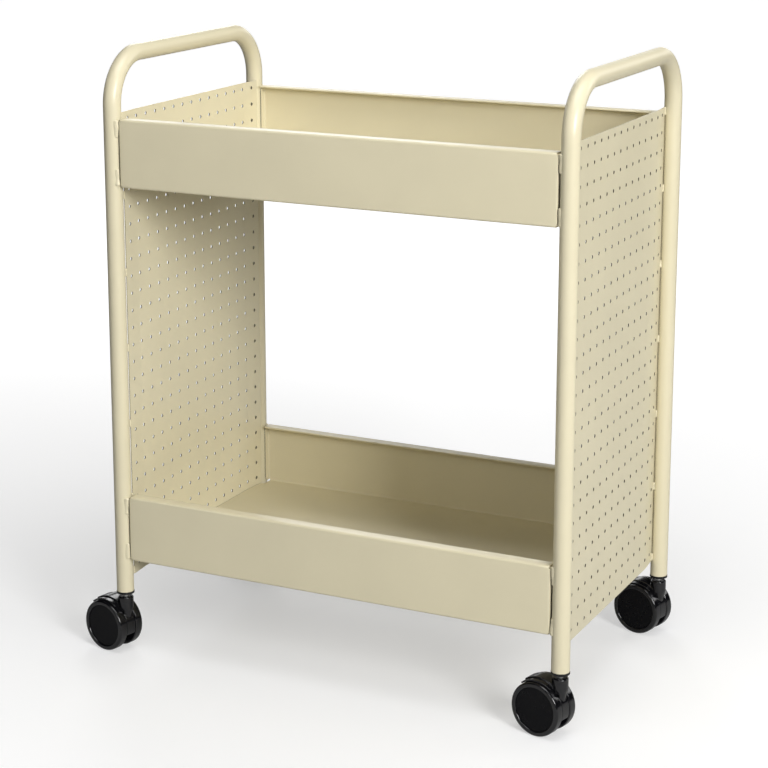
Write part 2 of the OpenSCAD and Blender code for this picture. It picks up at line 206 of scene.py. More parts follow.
@dataclass(frozen=True)
class PowderCoat:
    """Smooth semi-gloss powder coat: a faint orange peel and hardly any mottling.

    The walls of the holes and the narrow gaps are darkened with painted shade. ``holes`` is a column's y, a
    row's z, the pitch and the radius of a grid of holes, in metres, or empty.
    """

    name: str = "powder_coat"
    tone: tuple = (0.706, 0.645, 0.455)
    roughness: float = 0.3
    holes: tuple = ()
    # Tone factors of the painted shade on the holes' walls and in the narrow gaps.
    wall_shade: float = 0.16
    gap_shade: float = 0.14

    def build(self) -> Material:
        """Draws the material.

        Returns:
            The material.
        """
        s = Shader(self.name)
        cloud = s.noise(9.0, 4.0)
        dark = tuple(0.985 * c for c in self.tone)
        light = tuple(min(1.0, 1.02 * c) for c in self.tone)
        colour = s.mix(s.ramp(cloud, 0.35, 0.65, 0.0, 1.0), dark, light)
        if self.holes:
            # Painted shade on the holes' walls.
            colour = s.mix(self.lip(s), colour, tuple(self.wall_shade * c for c in self.tone))
        # Painted shade in the narrow gaps.
        colour = s.mix(self.painted_gap_shade(s), colour, tuple(self.gap_shade * c for c in self.tone))
        bump = s.bump(s.noise(700.0, 2.0), 0.05)
        rough = s.ramp(s.noise(60.0, 3.0), 0.3, 0.7, self.roughness - 0.01, self.roughness + 0.02)
        s.put(s.bsdf, Base_Color=colour, Roughness=rough, Normal=bump, IOR=1.5)
        return s.material

    def painted_gap_shade(self, s: Shader) -> Socket:
        """Painted shade in gaps of a few millimetres, from an ambient occlusion node.

        Args:
            s: The material's pen.

        Returns:
            1 in the gaps, and 0 on open faces and in corners.
        """
        shut = s.add("AmbientOcclusion")
        shut.samples = 6
        s.put(shut, Distance=6 * MM)
        return s.ramp(shut.outputs["AO"], 0.16, 0.46, 1.0, 0.0)

    def lip(self, s: Shader) -> Socket:
        """Painted shade on the punched holes' walls.

        With u and v the distances from the nearest column and row of holes, it falls
        from 1 to 0 as sqrt(u^2 + v^2) goes from the holes' radius to 0.3 mm beyond it.

        Args:
            s: The material's pen.

        Returns:
            1 on the walls, and 0 away from them.
        """
        y0, z0, pitch, radius = self.holes
        split = s.put(s.add("SeparateXYZ"), Vector=s.place)
        away = []
        for axis, start in (("Y", y0), ("Z", z0)):
            near = s.calc("PINGPONG", s.calc("SUBTRACT", split.outputs[axis], start), pitch / 2)
            away.append(s.calc("MULTIPLY", near, near))
        reach = s.calc("POWER", s.calc("ADD", *away), 0.5)
        return s.ramp(reach, radius + 0.02 * MM, radius + 0.3 * MM, 1.0, 0.0)


@dataclass(frozen=True)
class MouldedPlastic:
    """Black moulded plastic with a fine skin and faint handling marks."""

    name: str
    tone: tuple = (0.0035, 0.0035, 0.0045)
    roughness: float = 0.13
    wear: float = 0.0
    shine: float = 0.4

    def build(self) -> Material:
        """Draws the material.

        Returns:
            The material.
        """
        s = Shader(self.name)
        dust = s.ramp(s.noise(120.0, 6.0, 0.65), 0.5, 0.75, 0.0, 0.15 + self.wear)
        grey = tuple(0.012 + c for c in self.tone)
        colour = s.mix(dust, self.tone, grey)
        clean, rubbed = self.roughness - 0.02, self.roughness + 0.05 + self.wear
        rough = s.ramp(s.noise(320.0, 5.0, 0.6), 0.35, 0.7, clean, rubbed)
        bump = s.bump(s.noise(1500.0, 2.0), 0.08)
        s.put(s.bsdf, Base_Color=colour, Roughness=rough, Normal=bump, IOR=1.52,
              Specular_IOR_Level=self.shine)
        return s.material


@dataclass(frozen=True)
class ZincPlate:
    """Bright zinc plate with a cloudy tarnish and a faint grain."""

    name: str = "plated_steel"
    tone: tuple = (0.86, 0.86, 0.85)

    def build(self) -> Material:
        """Draws the material.

        Returns:
            The material.
        """
        s = Shader(self.name)
        cloud = s.ramp(s.noise(260.0, 4.0), 0.4, 0.7, 0.0, 1.0)
        colour = s.mix(cloud, self.tone, tuple(0.8 * c for c in self.tone))
        rough = s.ramp(s.noise(700.0, 3.0), 0.3, 0.7, 0.36, 0.48)
        bump = s.bump(s.noise(1100.0, 2.0), 0.1)
        s.put(s.bsdf, Base_Color=colour, Metallic=1.0, Roughness=rough, Normal=bump)
        return s.material


# Surfaces


class Patchwork:
    """Grids of computed points that become one mesh, welded where they share a rim."""

    def __init__(self) -> None:
        """Starts with nothing."""
        self.points: list[Array] = []
        self.faces: list[Array] = []
        self.count = 0

    def grid(self, p: Array, closed: bool = False) -> None:
        """Adds one grid of quads.

        Args:
            p: Points, shaped (rows, columns, 3).
            closed: Joins the last column to the first.
        """
        rows, cols = p.shape[:2]
        i = np.arange(rows * cols).reshape(rows, cols) + self.count
        if closed:
            i = np.hstack([i, i[:, :1]])
        quads = np.stack([i[:-1, :-1], i[1:, :-1], i[1:, 1:], i[:-1, 1:]], -1)
        self.faces.append(quads.reshape(-1, 4))
        self.points.append(p.reshape(-1, 3))
        self.count += rows * cols

    def sheet(self, x: Array, y: Array, z: Array) -> None:
        """Adds one grid from its x, y and z, each spread over the whole grid."""
        self.grid(np.stack(np.broadcast_arrays(x, y, z), -1))

    def build(self, name: str, shift: Sequence[float] = (0, 0, 0), crease: float = 38.0,
              weld: float = 2e-6) -> Object:
        """Makes the object: points welded, normals outwards, smooth but for sharp edges.

        Args:
            name: The object's name.
            shift: Moves every point, in metres.
            crease: Edges that bend by more than this many degrees stay sharp.
            weld: Points nearer than this many metres become one.

        Returns:
            The object, linked to the scene.
        """
        points = np.concatenate(self.points) + np.array(shift)
        faces = np.concatenate(self.faces)
        mesh = bpy.data.meshes.new(name)
        mesh.from_pydata(points.tolist(), [], faces.tolist())
        work = bmesh.new()
        work.from_mesh(mesh)
        bmesh.ops.remove_doubles(work, verts=work.verts, dist=weld)
        bmesh.ops.dissolve_degenerate(work, edges=work.edges, dist=weld)
        bmesh.ops.recalc_face_normals(work, faces=work.faces)
        work.to_mesh(mesh)
        work.free()
        smooth(mesh, crease)
        return linked(name, mesh)


def linked(name: str, data: bpy.types.ID) -> Object:
    """Links a new object with this mesh, lamp or camera to the scene."""
    obj = bpy.data.objects.new(name, data)
    bpy.context.scene.collection.objects.link(obj)
    return obj


def smooth(mesh: bpy.types.Mesh, crease: float) -> None:
    """Smooths a mesh, but for edges that bend by more than so many degrees."""
    mesh.polygons.foreach_set("use_smooth", np.ones(len(mesh.polygons), bool))
    mesh.set_sharp_from_angle(angle=radians(crease))


def around(count: int) -> Array:
    """So many equal steps of angle all the way round, in radians."""
    return np.linspace(0, 2 * pi, count, endpoint=False)


def arc(centre: tuple, radius: float, start: float, end: float, steps: int) -> Array:
    """Points of a plane arc: centre + radius (cos a, sin a), a from start to end in degrees."""
    a = np.radians(np.linspace(start, end, steps + 1))
    return np.array(centre) + radius * np.stack([np.cos(a), np.sin(a)], 1)


def rounded(corners: Sequence, radii: Sequence, steps: int = 4) -> Array:
    """A polyline with its corners rounded.

    Each corner c between unit directions u and v becomes the quadratic arc
    c + d ((1-t)^2 u + t^2 v), with d the cut length, r / tan(half the angle).

    Args:
        corners: Plane points.
        radii: One radius per corner, 0 to leave it sharp. The two ends are left alone.
        steps: Pieces of each arc.

    Returns:
        The points of the rounded line.
    """
    c = np.array(corners, float)
    out = [c[0]]
    t = np.linspace(0, 1, steps + 1)[:, None]
    for k in range(1, len(c) - 1):
        if radii[k] <= 0:
            out.append(c[k])
            continue
        u, v = c[k - 1] - c[k], c[k + 1] - c[k]
        lu, lv = np.linalg.norm(u), np.linalg.norm(v)
        u, v = u / lu, v / lv
        half = acos(max(-1.0, min(1.0, float(u @ v)))) / 2
        d = min(radii[k] / tan(half), 0.49 * lu, 0.49 * lv)
        out.extend(c[k] + d * ((1 - t) ** 2 * u + t**2 * v))
    out.append(c[-1])
    return np.array(out)


def lathe(line: Array, facets: int) -> Array:
    """Turns a line of (radius, height) about z: (r cos a, r sin a, h)."""
    a = around(facets)
    r, h = line[:, 0][:, None], line[:, 1][:, None]
    return np.stack([r * np.cos(a), r * np.sin(a), h + 0 * a], -1)


def baked(obj: Object, crease: float = 38.0) -> Object:
    """Applies an object's modifiers for good and smooths the result.

    Args:
        obj: The object.
        crease: Edges that bend by more than this many degrees stay sharp.

    Returns:
        The same object.
    """
    deps = bpy.context.evaluated_depsgraph_get()
    mesh = bpy.data.meshes.new_from_object(obj.evaluated_get(deps))
    obj.modifiers.clear()
    obj.data = mesh
    mesh.name = obj.name
    smooth(mesh, crease)
    return obj


# Sizes


@dataclass(frozen=True)
class Cart:
    """The cart's sizes in millimetres: those of the CAD source, but for three.

    The trays are about 1 mm shorter and prouder, and the panels 0.6 mm thicker outwards,
    with their edges creased by 5 degrees, so that the gaps along the posts show.
    """

    tube_r: float = 12.7
    tube_wall: float = 1.5
    tube_x: float = 342.9
    post_y: float = 203.2
    tube_end_z: float = 94.0
    bar_z: float = 881.3
    bend_r: float = 70.0
    panel_x: float = 337.5
    panel_t: float = 1.5
    panel_z: float = 117.5
    panel_h: float = 685.0
    panel_edge_y: float = 192.103
    crease_y: float = 156.137
    crease_a: float = 5.0
    pitch: float = 25.4
    hole_r: float = 2.4
    columns: int = 15
    rows: int = 27
    first_row: float = 14.6
    half_x: float = 329.2
    half_y: float = 210.0
    sheet_t: float = 1.2
    wall_h: float = 97.0
    rim_w: float = 19.0
    hem_w: float = 8.0
    fold_r: float = 1.8
    return_w: float = 11.0
    corner_cut: float = 4.5
    tongue_y: float = 190.3
    tray_z: tuple = (("lower", 144.0), ("upper", 697.5))
    trail: float = 26.5
    swing: float = 13.0
    wheel_r: float = 38.0

    @property
    def shift(self) -> Array:
        """From the cart's centre line to the frame's origin, which the casters set, in metres."""
        a = radians(self.swing)
        return np.array([cos(a), -sin(a), 0.0]) * self.trail * MM

    @property
    def hole_grid(self) -> tuple:
        """The panels' holes in metres: a column's y, a row's z, their pitch and their radius."""
        grid = (self.panel_z + self.first_row, self.pitch, self.hole_r)
        return (self.shift[1], *(v * MM for v in grid))

    def panel_face_x(self, y: Array) -> Array:
        """The panel's outer face: flat, then leaning in beyond the crease."""
        beyond = np.maximum(0, np.abs(y) - self.crease_y)
        return self.panel_x - beyond * tan(radians(self.crease_a))


CART = Cart()


# Steel


@dataclass
class EndFrame:
    """One bent tube: two posts, two bends and the handle bar."""

    side: Side
    facets: int = 72
    flatten: float = 0.025
    foot_start: float = 0.6
    foot_round: float = 0.45
    foot_deep: float = 14.0

    def line(self) -> tuple:
        """The tube's centre line between its feet.

        Returns:
            Its points (y, z) and their outward normals, from the front to the rear.
        """
        c = CART
        knee, inset = c.bar_z - c.bend_r, c.post_y - c.bend_r
        bend, turn = arc((-inset, knee), c.bend_r, 180, 90, 32), arc((0, 0), 1, 180, 90, 32)
        z = np.linspace(c.tube_end_z + self.foot_start, knee, 24)[:-1]
        post = np.stack([0 * z - c.post_y, z], 1)
        up = np.stack([0 * z - 1, 0 * z], 1)
        y = np.linspace(-inset, 0, 9)[1:]
        bar = np.stack([y, 0 * y + c.bar_z], 1)
        over = np.stack([0 * y, 0 * y + 1], 1)
        line, normal = np.vstack([post, bend, bar]), np.vstack([up, turn, over])
        return tuple(np.vstack([p, p[:-1][::-1] * (-1, 1)]) for p in (line, normal))

    def build(self) -> Object:
        """The tube's skin: c(s) + r (cos a x + k sin a n(s)), rolled in at both feet.

        k falls by 2.5% in the bends, where the real tube flattens a little.

        Returns:
            The tube.
        """
        c = CART
        line, normal = self.line()
        inner = c.tube_r - c.tube_wall
        corners = [(c.tube_r, self.foot_start), (c.tube_r, 0), (inner, 0), (inner, self.foot_deep)]
        r, z = rounded(corners, [0, self.foot_round, self.foot_round, 0])[1:].T
        radius = np.concatenate([r[::-1], np.full(len(line), c.tube_r), r])
        foot, away = np.stack([0 * z - c.post_y, z + c.tube_end_z], 1), np.stack([0 * z - 1, 0 * z], 1)
        line = np.vstack([foot[::-1], line, foot * (-1, 1)])
        normal = np.vstack([away, normal, away * (-1, 1)])
        flat = 1 - self.flatten * 4 * (normal[:, 0] * normal[:, 1]) ** 2
        a = around(self.facets)
        x = radius[:, None] * np.cos(a) + self.side.value * c.tube_x
        out = (radius * flat)[:, None] * np.sin(a)
        y, z = (line[:, k][:, None] + out * normal[:, k][:, None] for k in (0, 1))
        work = Patchwork()
        work.grid(np.stack([x, y, z], -1) * MM, closed=True)
        return work.build(f"{self.side.name.lower()}_tube", c.shift)


@dataclass
class SidePanel:
    """One perforated sheet, with punched holes and both upright edges creased in.

    A hole's lip and burr are rings: how far beyond its radius, and how far from the sheet's
    outer and inner face.
    """

    side: Side
    facets: int = 20
    bow: float = 0.25
    apron: float = 2.2
    lip: tuple = ((0.42, 0.0), (0.16, 0.05), (0.02, 0.2), (0.0, 0.36))
    burr: tuple = ((0.0, 0.14), (0.1, 0.0))

    def bounds(self) -> tuple:
        """Where the holes' cells meet.

        Returns:
            The cells' edges along y, two of which fall on the creases, and along z.
        """
        c = CART
        half = [(k + 0.5) * c.pitch for k in range(c.columns // 2)]
        half[-1] = c.crease_y
        y = np.array([-c.panel_edge_y, *[-h for h in half[::-1]], *half, c.panel_edge_y])
        rises = [c.first_row + (k + 0.5) * c.pitch for k in range(c.rows - 1)]
        return y, c.panel_z + np.array([0, *rises, c.panel_h])

    def place(self, y: Array, z: Array, deep: Array) -> Array:
        """Puts the flat pattern on the bent sheet.

        x = face(y) - deep + b cos(pi y / 2Y) sin(pi z/H) sin(2.2 pi z/H), with b the bow,
        Y the half width and H the height.

        Args:
            y: Across the sheet.
            z: Up the sheet.
            deep: How far inwards from the outer face.

        Returns:
            The points (x, y, z).
        """
        c = CART
        up = (z - c.panel_z) / c.panel_h
        bow = self.bow * np.cos(0.5 * pi * y / c.panel_edge_y) * np.sin(pi * up)
        x = c.panel_face_x(y) - deep + bow * np.sin(2.2 * pi * up)
        return np.stack(np.broadcast_arrays(self.side.value * x, y, z), -1)

    def compass(self) -> tuple:
        """Directions round a hole, and where they meet the square of half width 1."""
        a = around(self.facets) + pi / 4
        way = np.stack([np.cos(a), np.sin(a)], 1)
        return way, way / np.abs(way).max(1, keepdims=True)

    def build(self) -> Object:
        """Builds one ring stack per hole, from its cell's edge over the rolled lip to the back.

        Returns:
            The panel.
        """
        c = CART
        ys, zs = self.bounds()
        t, r = c.panel_t, c.hole_r
        rings = [(r + out, d) for out, d in self.lip] + [(r + out, t - d) for out, d in self.burr]
        deep = np.array([0.0, 0.0, *(d for _, d in rings), t, t])[:, None]
        way, square = self.compass()
        work = Patchwork()
        for col in range(c.columns):
            y0 = (col - c.columns // 2) * c.pitch
            for row in range(c.rows):
                z0 = c.panel_z + c.first_row + row * c.pitch
                lo, hi = (ys[col] - y0, zs[row] - z0), (ys[col + 1] - y0, zs[row + 1] - z0)
                edge = np.where(square > 0, square * hi, -square * lo)
                near = np.clip(way * (r + self.apron), np.array(lo) * 0.98, np.array(hi) * 0.98)
                flat = np.array([edge, near, *(way * ring for ring, _ in rings), near, edge])
                work.grid(self.place(y0 + flat[..., 0], z0 + flat[..., 1], deep) * MM, closed=True)
        for line in self.edges(ys, zs):
            work.grid(line * MM)
        return work.build(f"{self.side.name.lower()}_perforated_sheet", c.shift, crease=50.0)

    def edges(self, ys: Array, zs: Array) -> list:
        """The sheet's four cut edges, as strips from its outer to its inner face.

        Args:
            ys: The cells' edges along y.
            zs: The cells' edges along z.

        Returns:
            Four grids, with points where those of the faces are.
        """
        c = CART
        square = self.compass()[1]
        u = np.unique(np.round(square[np.isclose(np.abs(square[:, 1]), 1), 0], 6))
        out = []
        for end in (0, -1):
            for bounds, other, level in ((ys, zs, True), (zs, ys, False)):
                first = -(c.columns // 2) * c.pitch if level else c.panel_z + c.first_row
                stops = []
                for k in range(len(bounds) - 1):
                    mid = first + k * c.pitch
                    low, high = bounds[k] - mid, bounds[k + 1] - mid
                    stops += [mid + (v * high if v > 0 else -v * low) for v in u]
                s = np.unique(np.round(stops, 5))
                fixed = np.full_like(s, other[end])
                y, z = (s, fixed) if level else (fixed, s)
                out.append(self.place(y, z, np.array([[0.0], [c.panel_t]])))
        return out


@dataclass
class Tray:
    """One pan folded from a single sheet."""

    name: str
    z: float
    hem_gap: float = 0.3
    seam: float = 0.2
    sag: float = 0.5
    wave: float = 0.22
    soft_edge: float = 0.3
    tongue_gap: float = 0.2

    def section(self) -> tuple:
        """Half of the middle surface's section, from the floor's centre to the hem.

        Returns:
            The floor, the fold at its edge and the rim, each as points (y, z).
        """
        c = CART
        mid, ro = c.fold_r + c.sheet_t / 2, c.fold_r + c.sheet_t
        flat_y = c.half_y - c.fold_r - c.sheet_t
        floor_y = [np.linspace(0, c.crease_y, 12), np.linspace(c.crease_y, c.tongue_y, 4), [flat_y]]
        floor_y = np.unique(np.concatenate(floor_y))
        floor = np.stack([floor_y, 0 * floor_y + c.sheet_t / 2], 1)
        low = arc((flat_y, ro), mid, -90, 0, 6)
        high = arc((flat_y, c.wall_h - ro), mid, 0, 90, 6)
        hem_r = self.hem_gap + c.sheet_t / 2
        end_y = c.half_y - c.rim_w + self.hem_gap + c.sheet_t
        hem_z = c.wall_h - self.hem_gap - c.sheet_t
        hem = arc((end_y, hem_z), hem_r, 90, 270, 8)
        tail = (end_y + c.hem_w - hem_r - c.sheet_t / 2, hem_z - hem_r)
        wall_y = c.half_y - c.sheet_t / 2
        foot, top = (wall_y, ro + self.seam), (wall_y, c.wall_h - ro - self.seam)
        return floor, np.vstack([low[1:], foot]), np.vstack([top, high, hem, tail])

    def ripple(self, x: Array, s: Array, high: float) -> Array:
        """How far a wall stands off flat: slow waves that fade out at its folds.

        With u = x/L, v = s/H, L and H the wall's length and height and z the tray's, it is
        w cos(pi u) sin(pi v) (sin(5 u + 1 + z) + 0.6 sin(9 u + 4 v + z)), w the wave's size.
        """
        u, v = x / (2 * CART.half_x), s / high
        fade = np.cos(pi * u) * np.sin(pi * v)
        return self.wave * fade * (np.sin(5 * u + 1 + self.z) + 0.6 * np.sin(9 * u + 4 * v + self.z))

    def sagged(self, u: Array, v: Array) -> Array:
        """How far the floor hangs down: sag cos(pi u/2) cos(pi v/2), u and v from -1 to 1."""
        return self.sag * np.cos(0.5 * pi * v) * np.cos(0.5 * pi * u)

    def wall_end(self, work: Patchwork, end: int, sign: int, rise: Array) -> None:
        """Adds the flange that a wall's end turns in to, its corners cut off at 45 degrees.

        Args:
            work: Where it goes.
            end: Its sign along x.
            sign: Its wall's sign along y.
            rise: The wall's heights.
        """
        c = CART
        ro = c.fold_r + c.sheet_t
        bend = arc((c.half_x - ro, c.half_y - ro), c.fold_r + c.sheet_t / 2, 90, 0, 6)
        run = np.linspace(c.half_y - ro, c.half_y - c.return_w, 6)[1:]
        path = np.vstack([bend, np.stack([0 * run + c.half_x - c.sheet_t / 2, run], 1)])
        cut = np.maximum(0, (c.half_y - c.return_w + c.corner_cut) - path[:, 1])[:, None]
        low, high = rise[0] + cut, rise[-1] - cut
        z = low + (high - low) * np.linspace(0, 1, 15)
        work.sheet(end * path[:, 0][:, None], sign * path[:, 1][:, None], z)

    def build(self) -> Object:
        """Builds the folded middle surface, then thickens it and softens its cut edges.

        Returns:
            The tray.
        """
        c = CART
        work = Patchwork()
        ro = c.fold_r + c.sheet_t
        x1 = c.half_x - ro
        x = np.linspace(-x1, x1, 57)
        floor, low, rim = self.section()
        rise = np.linspace(ro + self.seam, c.wall_h - ro - self.seam, 15)
        for sign in (-1, 1):
            for strip in (np.vstack([floor, low]), rim):
                y, z = strip[:, 0][:, None], strip[:, 1][:, None]
                hang = self.sagged(x / x1, np.minimum(1, np.abs(y) / (c.half_y - ro)))
                work.sheet(x, sign * y, z - np.where(z < c.sheet_t, hang, 0))
            wave = self.ripple(x, rise[:, None] - rise[0], rise[-1] - rise[0])
            work.sheet(x, sign * (c.half_y - c.sheet_t / 2 + wave), rise[:, None])
            for end in (-1, 1):
                self.wall_end(work, end, sign, rise)
        y = floor[floor[:, 0] <= c.tongue_y + 1e-6, 0]
        y = np.concatenate([-y[:0:-1], y])
        reach = c.panel_face_x(y) - c.panel_t - self.tongue_gap - x1
        for end in (-1, 1):
            work.sheet(end * (x1 + np.linspace(0, 1, 4)[:, None] * reach), y, c.sheet_t / 2)
        work.points = [p * MM for p in work.points]
        tray = work.build(f"{self.name}_pan", c.shift + (0, 0, self.z * MM), weld=5e-6)
        thick = tray.modifiers.new("thick", "SOLIDIFY")
        thick.thickness, thick.offset, thick.use_even_offset = c.sheet_t * MM, 0.0, True
        soft = tray.modifiers.new("soft", "BEVEL")
        soft.width, soft.segments = self.soft_edge * MM, 3
        soft.limit_method, soft.angle_limit = "ANGLE", radians(50)
        return baked(tray)


@dataclass(frozen=True)
class Bead:
    """One bead's length, radius, width as a share of its height, and its taper upwards."""

    length: float
    radius: float
    wide: float = 1.0
    taper: float = 0.0


@dataclass
class WeldBeads:
    """Every visible weld: short beads of overlapping ripples under the paint."""

    rng: np.random.Generator
    wall_radius: float = 3.2
    wall_wide: float = 1.35
    tack: Bead = Bead(12, 1.8)
    edge: Bead = Bead(12, 1.9)
    edge_count: int = 7
    tack_margin: float = 30.0
    lean: float = 0.16

    def lay(self, work: Patchwork, bead: Bead, foot: Sequence, run: Sequence, across: Sequence) -> None:
        """Adds one bead.

        An oval rod with round ends about foot + s run, s from 0 to 1. Its radius is
        r (1 + taper (s - 1/2) + 0.08 w(s)) (0.97 + 0.05 |sin(pi (s/p + 0.3 cos a + 0.4 w(s)))|),
        p the ripple's pitch, its width is that times wide, and its centre strays by
        0.1 r w(s), with w a slow wave of random phases:
        w(s) = 0.7 sin(2 pi (0.8 s + k1)) + 0.3 sin(2 pi (1.9 s + k2)).

        Args:
            work: Where the bead goes.
            bead: Its measures.
            foot: Its lower end.
            run: The unit direction that it runs in.
            across: The unit direction that it is wide in.
        """
        run, side = np.array(run, float), np.array(across, float)
        up = np.cross(run, side)
        s = np.linspace(0, 1, 61)
        a = around(24)
        length, radius = bead.length, bead.radius

        def slow() -> Array:
            """One slow wave along the bead."""
            k1, k2 = self.rng.uniform(0, 1, 2)
            return 0.7 * np.sin(2 * pi * (0.8 * s + k1)) + 0.3 * np.sin(2 * pi * (1.9 * s + k2))

        past = ((np.abs(s - 0.5) * length - (length / 2 - radius)) / radius).clip(0, 1)
        cap = np.sqrt(np.clip(1 - past**2, 0, 1))
        reach = radius * cap * (1 + bead.taper * (s - 0.5) + 0.08 * slow())
        turn = a - self.rng.uniform(0, 6.3)
        phase = s[:, None] * length / (0.75 * radius) + 0.3 * np.cos(turn) + 0.4 * slow()[:, None]
        r = reach[:, None] * (0.97 + 0.05 * np.abs(np.sin(pi * phase)))
        stray = slow()[:, None] * side + slow()[:, None] * up
        centre = np.array(foot) + s[:, None] * length * run + 0.1 * radius * stray
        oval = bead.wide * np.cos(a)[:, None] * side + np.sin(a)[:, None] * up
        work.grid((centre[:, None, :] + r[..., None] * oval) * MM, closed=True)

    def tray_beads(self) -> Object:
        """Builds the beads at the trays' wall ends, and the tacks under their floors' ends.

        Returns:
            The beads as one piece.
        """
        c = CART
        work = Patchwork()
        seam_x = c.tube_x - sqrt(c.tube_r**2 - (c.half_y - c.post_y) ** 2)
        lower = Bead(26, self.wall_radius, self.wall_wide, -0.25)
        upper = Bead(27, self.wall_radius, self.wall_wide, 0.3)
        span = 2 * (c.crease_y - self.tack_margin)
        for _, z in c.tray_z:
            for sx in (-1, 1):
                for sy in (-1, 1):
                    across = np.array([sx, self.lean * sy, 0]) / hypot(1, self.lean)
                    for low, bead in ((0.8, lower), (c.wall_h - upper.length, upper)):
                        foot_z = z + low + self.rng.uniform(-1, 1)
                        foot = (sx * (seam_x + 1.6), sy * (c.half_y - 0.5), foot_z)
                        self.lay(work, bead, foot, (0, 0, 1), across)
                for k in range(3):
                    y = -span / 2 + k * span / 2 - self.tack.length / 2
                    foot = (sx * (c.panel_x - c.panel_t - 1.1), y, z - 0.8)
                    self.lay(work, self.tack, foot, (0, 1, 0), (1, 0, 0))
        return work.build("tray_welds", c.shift, crease=60, weld=1e-7)

    def panel_beads(self) -> Object:
        """Builds the beads along the panels' upright edges, which bridge to the posts.

        Returns:
            The beads as one piece.
        """
        c = CART
        work = Patchwork()
        last = self.edge_count - 1
        step = (c.panel_h - self.edge.length) / last
        x = float(c.panel_face_x(c.panel_edge_y)) + 0.1
        for sx in (-1, 1):
            for sy in (-1, 1):
                for k in range(self.edge_count):
                    jitter = self.rng.uniform(-1.5, 1.5) if 0 < k < last else 0
                    foot = (sx * x, sy * (c.panel_edge_y + 0.45), c.panel_z + k * step + jitter)
                    self.lay(work, self.edge, foot, (0, 0, 1), (0, 1, 0))
        return work.build("panel_welds", c.shift, crease=60, weld=1e-7)


# Casters


def prism(name: str, outline: Array, half: float) -> Object:
    """A closed block: a side view (x, z) stretched from y = -half to y = half.

    Args:
        name: The object's name.
        outline: The side view's corners in order.
        half: Half the block's width.

    Returns:
        The block, as a helper that is not shown.
    """
    n = len(outline)
    x, z = outline[:, 0], outline[:, 1]
    points = np.concatenate([np.stack([x, 0 * x + y, z], 1) for y in (-half, half)]) * MM
    faces = [list(range(n)), list(range(2 * n - 1, n - 1, -1))]
    faces += [[(k + 1) % n, k, n + k, n + (k + 1) % n] for k in range(n)]
    mesh = bpy.data.meshes.new(name)
    mesh.from_pydata(points.tolist(), [], faces)
    return linked(name, mesh)


def turned(name: str, line: Array, facets: int, spot: Sequence = (0, 0, 0),
           axis: Axis = Axis.UP) -> Object:
    """A closed turned solid from its section (radius, height).

    Args:
        name: The object's name.
        line: The section, whose first and last points meet or lie on the axis.
        facets: How many there are round the axis.
        spot: Where the axis' zero point goes.
        axis: The way its axis points.

    Returns:
        The solid, linked to the scene.
    """
    work = Patchwork()
    work.grid((lathe(line, facets) @ np.array(axis.value) + np.array(spot)) * MM, closed=True)
    return work.build(name)


